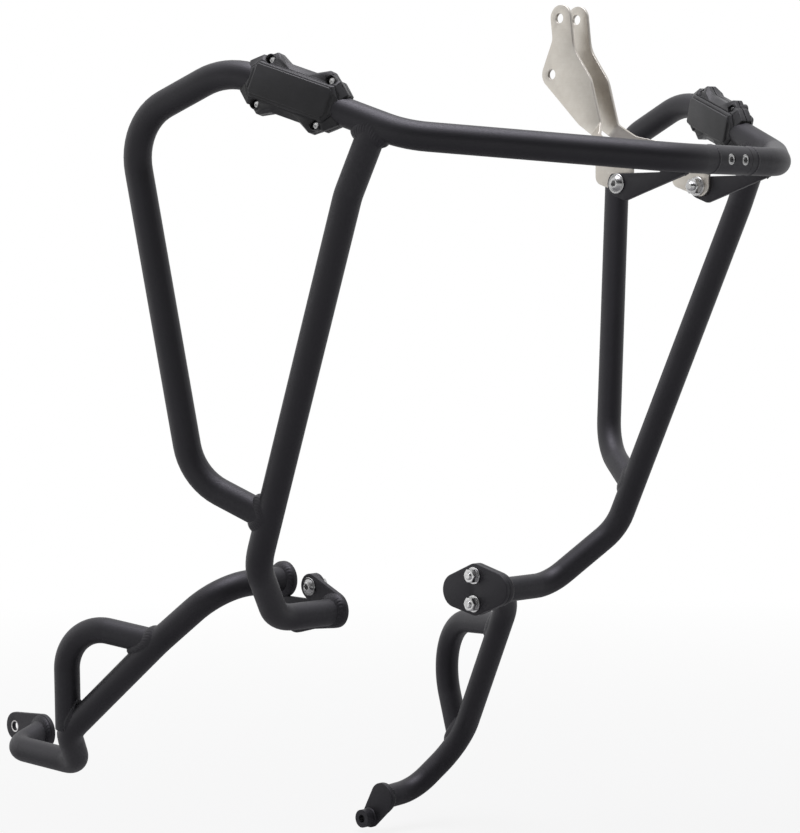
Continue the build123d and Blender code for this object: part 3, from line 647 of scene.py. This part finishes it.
def surfaceOf(name):
    bm = bmesh.new()
    bm.from_mesh(nodes[name].data)
    tree = BVHTree.FromBMesh(bm)
    bm.free()
    return tree


def skinsAround(axis, count):
    turned = faced(Vector(), axis).to_3x3()
    for step in range(count):
        angle = 2 * pi * step / count
        yield (turned @ Vector((cos(angle), sin(angle), 0))).normalized()


def jointLine(start, towards, surface, leg):
    # follows rays along the joining tube's skin to the part that it is welded to;
    # each station holds the corner, both toes and the two skins' normals there
    along = (towards - start).normalized()
    inset = weldValues["rayInset"]
    line = []
    for skin in skinsAround(along, weldValues["jointPoints"]):
        spot, normal = surface.ray_cast(start + skin * tubeRadius * (1 - inset), along)[:2]
        if spot is None:
            continue
        if normal.dot(along) > 0:
            normal = -normal
        away = skin + along
        away = (away - normal * away.dot(normal)).normalized()
        toe = surface.find_nearest(spot + away * leg)[0]
        line.append((spot, spot + skin * tubeRadius * inset - along * leg, toe, skin, normal))
    return line


def ringLine(middle, axis, radius, leg, flat):
    # a seam round a tube, or the foot of a boss on a flat face
    line = []
    for skin in skinsAround(axis, weldValues["ringPoints"]):
        spot = middle + skin * radius
        if flat:
            line.append((spot, spot - axis * leg, spot + axis * leg, skin, skin))
        else:
            line.append((spot, spot + axis * leg, spot + skin * leg, skin, axis))
    return line


def evenLine(line, closed):
    # spaces the stations evenly, with a whole number of ripples
    points = line + [line[0]] if closed else line
    lengths = [0.0]
    for first, second in zip(points, points[1:]):
        lengths.append(lengths[-1] + (second[0] - first[0]).length)
    ripples = max(weldValues["fewest"], round(lengths[-1] / weldValues["pitch"]))
    count = ripples * weldValues["ringsPerRipple"]
    even, index = [], 0
    for step in range(count if closed else count + 1):
        reach = lengths[-1] * step / count
        while index < len(lengths) - 2 and lengths[index + 1] < reach:
            index += 1
        share = (reach - lengths[index]) / max(lengths[index + 1] - lengths[index], 1e-9)
        even.append([first.lerp(second, share) for first, second in zip(points[index], points[index + 1])])
    return even


def beadSection(station, step, bulge, taper):
    # the bead's outline at a station: toe to toe over the top, then the root under the corner
    corner, firstToe, secondToe, skin, normal = station
    values = weldValues
    out = (skin + normal).normalized()
    points = []
    for place in range(values["curvePoints"]):
        share = place / (values["curvePoints"] - 1)
        arch = 4 * share * (1 - share)
        wave = abs(sin(pi * (step / values["ringsPerRipple"] + values["lead"] * arch)))
        height = bulge * arch * taper - values["ripple"] * bulge * (1 - wave) * arch
        sunk = (skin * (1 - share) + normal * share) * values["sink"]
        points.append(corner.lerp(firstToe.lerp(secondToe, share), taper) + out * height - sunk)
    return points + [corner - out * values["root"]]


def addBead(bm, line, closed, size):
    even = evenLine(line, closed)
    sections = []
    for step, station in enumerate(even):
        reach = min(step, len(even) - 1 - step) / (2 * weldValues["ringsPerRipple"])
        taper = 1.0 if closed else min(1.0, weldValues["endTaper"] + reach)
        sections.append(beadSection(station, step, size["bulge"], taper))
    ring = bmesh.ops.create_circle(bm, cap_ends=False, segments=len(sections[0]), radius=size["leg"])["verts"]
    edges = list({e for v in ring for e in v.link_edges})
    first, firstEdges = ring, edges
    for v, spot in zip(ring, sections[0]):
        v.co = spot
    for section in sections[1:] + ([sections[0]] if closed else []):
        grown = bmesh.ops.extrude_edge_only(bm, edges=edges)["geom"]
        edges = [g for g in grown if isinstance(g, bmesh.types.BMEdge)]
        after = {}
        for edge in (e for g in grown if isinstance(g, bmesh.types.BMFace) for e in g.edges):
            older = [v for v in edge.verts if v in ring]
            newer = [v for v in edge.verts if v not in ring]
            if older and newer:
                after[older[0]] = newer[0]
        ring = [after[v] for v in ring]
        for v, spot in zip(ring, section):
            v.co = spot
    if closed:
        bmesh.ops.remove_doubles(bm, verts=first + ring, dist=tiny)
    else:
        for end in (firstEdges, edges):
            bmesh.ops.edgeloop_fill(bm, edges=end)


frameJoints = {
    "strutTop": {
        "from": (-11.9, 268.8, -166.6), "to": (16.9, 264.0, -106.4), "on": "loop_tube", "size": "tube",
    },
    "loopFoot": {
        "from": (-198.2, 286.7, -418.2), "to": (-133.9, 251.35, -453), "on": "strut", "size": "tube",
    },
    "strutFoot": {
        "from": (-194, 150, -556), "to": (-194, 117, -556), "on": "upper_flange", "size": "tube",
    },
}
lowerJoints = {
    "right": {
        "start": {
            "from": (-272.3, 130, -532), "to": (-272.3, 112, -532), "on": "lower_plate", "size": "plate",
        },
        "end": {
            "from": (-571, 214, -724), "to": (-584, 172, -715), "on": "rear_plate", "size": "plate",
        },
        "braceTop": {
            "from": (-400, 248.6, -578), "to": (-338, 224, -588.2), "on": "lower_tube", "size": "tube",
        },
        "braceFoot": {
            "from": (-431.6, 253, -628), "to": (-437, 248, -682.6), "on": "lower_tube", "size": "tube",
        },
    },
    "left": {
        "start": {
            "from": (-250, 130, -560.5), "to": (-250, 112, -560.5), "on": "lower_plate", "size": "plate",
        },
        "end": {
            "from": (-419.3, 216, -807.2), "to": (-421, 172, -810.2), "on": "rear_plate", "size": "plate",
        },
        "braceTop": {
            "from": (-380, 249, -617.3), "to": (-288.5, 217.5, -609.5), "on": "lower_tube", "size": "tube",
        },
        "braceFoot": {
            "from": (-410, 264, -706.6), "to": (-394, 261, -750), "on": "lower_tube", "size": "tube",
        },
    },
}
bossFoot = {"at": (-440, 167, -834.4), "radius": 0.0099}
frontBar = {
    "x": 188.5, "z": -134.5, "seams": {"right": -29.0, "left": 25.0}, "lugs": (54.6, 59.6),
    "lugMiddle": 57.1, "lugShort": 0.12, "lugFit": 0.0006,
}


def lugLine(side, y, leg, surface):
    # the arc on the bar between the lug's upper and lower edges
    middle = mm(frontBar["x"], 0, frontBar["z"])
    angles = []
    for v in nodes[side + "_lug"].data.vertices:
        back, rise = middle.x - v.co.x, v.co.z - middle.z
        if Vector((back, rise)).length < tubeRadius + frontBar["lugFit"]:
            angles.append(atan2(rise, back))
    low, high = min(angles) + frontBar["lugShort"], max(angles) - frontBar["lugShort"]
    outward = Vector((0, sides[side] if y > frontBar["lugMiddle"] else -sides[side], 0))
    line = []
    for step in range(weldValues["lugPoints"] + 1):
        angle = low + (high - low) * step / weldValues["lugPoints"]
        skin = Vector((-cos(angle), 0, sin(angle)))
        spot = Vector((middle.x, sides[side] * y / 1000, middle.z)) + skin * tubeRadius
        toe = surface.find_nearest(spot + outward * leg)[0]
        line.append((spot, toe, spot + skin * leg, skin, outward))
    return line


def layJoints(bm, side, joints):
    for joint in joints.values():
        surface = surfaceOf(side + "_" + joint["on"])
        start, towards = mm(*joint["from"]), mm(*joint["to"])
        start.y *= sides[side]
        towards.y *= sides[side]
        size = weldValues[joint["size"]]
        addBead(bm, jointLine(start, towards, surface, size["leg"]), True, size)


for side in sides:
    bm = bmesh.new()
    layJoints(bm, side, frameJoints)
    bar = surfaceOf(side + "_loop_tube")
    for y in frontBar["lugs"]:
        addBead(bm, lugLine(side, y, weldValues["lug"]["leg"], bar), False, weldValues["lug"])
    seamMiddle = mm(frontBar["x"], frontBar["seams"][side], frontBar["z"])
    seam = ringLine(seamMiddle, Vector((0, 1, 0)), tubeRadius, weldValues["seam"]["leg"], True)
    addBead(bm, seam, True, weldValues["seam"])
    addPiece(
        bm, side + "_frame_weld_beads", [powderCoat], [side + "_frame_welds"],
        sharpAngle=weldValues["sharpAngle"],
    )

    bm = bmesh.new()
    layJoints(bm, side, lowerJoints[side])
    if side == "left":
        inward = Vector((0, -1, 0))
        foot = ringLine(mm(*bossFoot["at"]), inward, bossFoot["radius"], weldValues["boss"]["leg"], False)
        addBead(bm, foot, True, weldValues["boss"])
    addPiece(
        bm, side + "_lower_weld_beads", [powderCoat], [side + "_lower_welds"],
        sharpAngle=weldValues["sharpAngle"],
    )
print("weld beads laid")


# Floor, light and camera

stageValues = {
    "floorDrop": 0.004, "floorSize": 14.0, "floorColour": (0.55, 0.55, 0.55, 1),
    "floorRough": 0.9, "floorSpecular": 0.1,
    "floorWhite": 0.86, "floorNear": 0.8, "floorFar": 2.6, "ambient": 0.09, "white": (1, 1, 1, 1),
    "backdrop": {"towards": (-0.50, 0.50, 0.71), "edge": -0.1, "full": 0.6, "share": 1.0},
    "sideWall": {"towards": (0.10, -0.97, 0.22), "edge": 0.78, "full": 0.95, "share": 0.45},
    "key": {
        "at": (0.0, -0.15, 2.1), "aim": (-0.2, 0, -0.35),
        "size": 1.8, "watts": 62.0, "colour": (0.95, 0.93, 1.0),
    },
    "fill": {
        "at": (-2.2, -1.9, 0.2), "aim": (-0.2, 0, -0.4),
        "size": 2.4, "watts": 11.5, "colour": (1.0, 1.0, 0.99),
    },
}


def softbox(name, values):
    lamp = bpy.data.lights.new(name, "AREA")
    lamp.shape = "SQUARE"
    lamp.size = values["size"]
    lamp.energy = values["watts"]
    lamp.color = values["colour"]
    box = bpy.data.objects.new(name, lamp)
    box.matrix_world = faced(Vector(values["at"]), Vector(values["at"]) - Vector(values["aim"]))
    scene.collection.objects.link(box)


bm = bmesh.new()
bmesh.ops.create_grid(bm, x_segments=2, y_segments=2, size=stageValues["floorSize"])
bmesh.ops.translate(bm, verts=bm.verts, vec=(0, 0, cadBox[0].z - stageValues["floorDrop"]))
floorMesh = bpy.data.meshes.new("floor")
bm.to_mesh(floorMesh)
bm.free()
floor = bpy.data.objects.new("floor", floorMesh)
scene.collection.objects.link(floor)
floorFinish, floorTree, floorShader, floorSpot = startFinish("paleFloor")
floorShader.inputs["Base Color"].default_value = stageValues["floorColour"]
floorShader.inputs["Roughness"].default_value = stageValues["floorRough"]
floorShader.inputs["Specular IOR Level"].default_value = stageValues["floorSpecular"]
floorMesh.materials.append(floorFinish)

# The floor turns white with distance; close by it keeps its own colour and the shadow
floorRays = floorTree.nodes.new("ShaderNodeLightPath")
away = vectorStep(floorTree, "LENGTH", floorSpot)
far = ranged(floorTree, away, 0.0, 1.0, stageValues["floorNear"], stageValues["floorFar"])
seen = ranged(floorTree, far, stageValues["floorWhite"], 1.0, 0.0, 1.0)
seen = summed(floorTree, seen, floorRays.outputs["Is Camera Ray"], "MULTIPLY")
mirrored = summed(floorTree, floorRays.outputs["Is Glossy Ray"], floorRays.outputs["Is Transmission Ray"])
mirrored = summed(floorTree, mirrored, far, "MULTIPLY")
floorGlow = floorTree.nodes.new("ShaderNodeEmission")
floorGlow.inputs["Color"].default_value = stageValues["white"]
floorGlow.inputs["Strength"].default_value = 1.0
floorMix = floorTree.nodes.new("ShaderNodeMixShader")
floorTree.links.new(summed(floorTree, seen, mirrored), floorMix.inputs["Fac"])
floorTree.links.new(floorShader.outputs["BSDF"], floorMix.inputs[1])
floorTree.links.new(floorGlow.outputs["Emission"], floorMix.inputs[2])
floorTree.links.new(floorMix.outputs["Shader"], floorTree.nodes["Material Output"].inputs["Surface"])

world = bpy.data.worlds.new("studio")
scene.world = world
world.use_nodes = True
sky = world.node_tree
ambient = sky.nodes["Background"]
ambient.inputs["Color"].default_value = stageValues["white"]
ambient.inputs["Strength"].default_value = stageValues["ambient"]
backdrop = sky.nodes.new("ShaderNodeBackground")
backdrop.inputs["Color"].default_value = stageValues["white"]
backdrop.inputs["Strength"].default_value = 1.0
rays = sky.nodes.new("ShaderNodeLightPath")


def skyPatch(values):
    # how white the studio is in a direction, as glossy rays see it
    towards = sky.nodes.new("ShaderNodeTexCoord").outputs["Generated"]
    facing = vectorStep(sky, "DOT_PRODUCT", towards, values["towards"])
    return ranged(sky, facing, 0.0, values["share"], values["edge"], values["full"])


patches = summed(sky, skyPatch(stageValues["backdrop"]), skyPatch(stageValues["sideWall"]))
mirroredSky = summed(sky, rays.outputs["Is Glossy Ray"], rays.outputs["Is Transmission Ray"])
mirroredSky = summed(sky, mirroredSky, patches, "MULTIPLY")
choose = sky.nodes.new("ShaderNodeMixShader")
sky.links.new(summed(sky, rays.outputs["Is Camera Ray"], mirroredSky), choose.inputs["Fac"])
sky.links.new(ambient.outputs["Background"], choose.inputs[1])
sky.links.new(backdrop.outputs["Background"], choose.inputs[2])
sky.links.new(choose.outputs["Shader"], sky.nodes["World Output"].inputs["Surface"])
softbox("keySoftbox", stageValues["key"])
softbox("fillSoftbox", stageValues["fill"])
scene.view_settings.view_transform = "Standard"

cameraValues = {
    "at": (1.608, -1.7993, -0.2265), "along": (-0.7118, 0.7000, -0.0579),
    "across": (0.7012, 0.7130, 0.0002), "lens": 116.92, "sensor": 36.0,
}
cameraData = bpy.data.cameras.new("camera")
cameraData.sensor_fit = "HORIZONTAL"
cameraData.sensor_width = cameraValues["sensor"]
cameraData.lens = cameraValues["lens"]
camera = bpy.data.objects.new("camera", cameraData)
cameraAt, along, across = (Vector(cameraValues[key]) for key in ("at", "along", "across"))
camera.matrix_world = faced(cameraAt, -along, across)
scene.collection.objects.link(camera)
scene.camera = camera
print("stage, light and camera set")
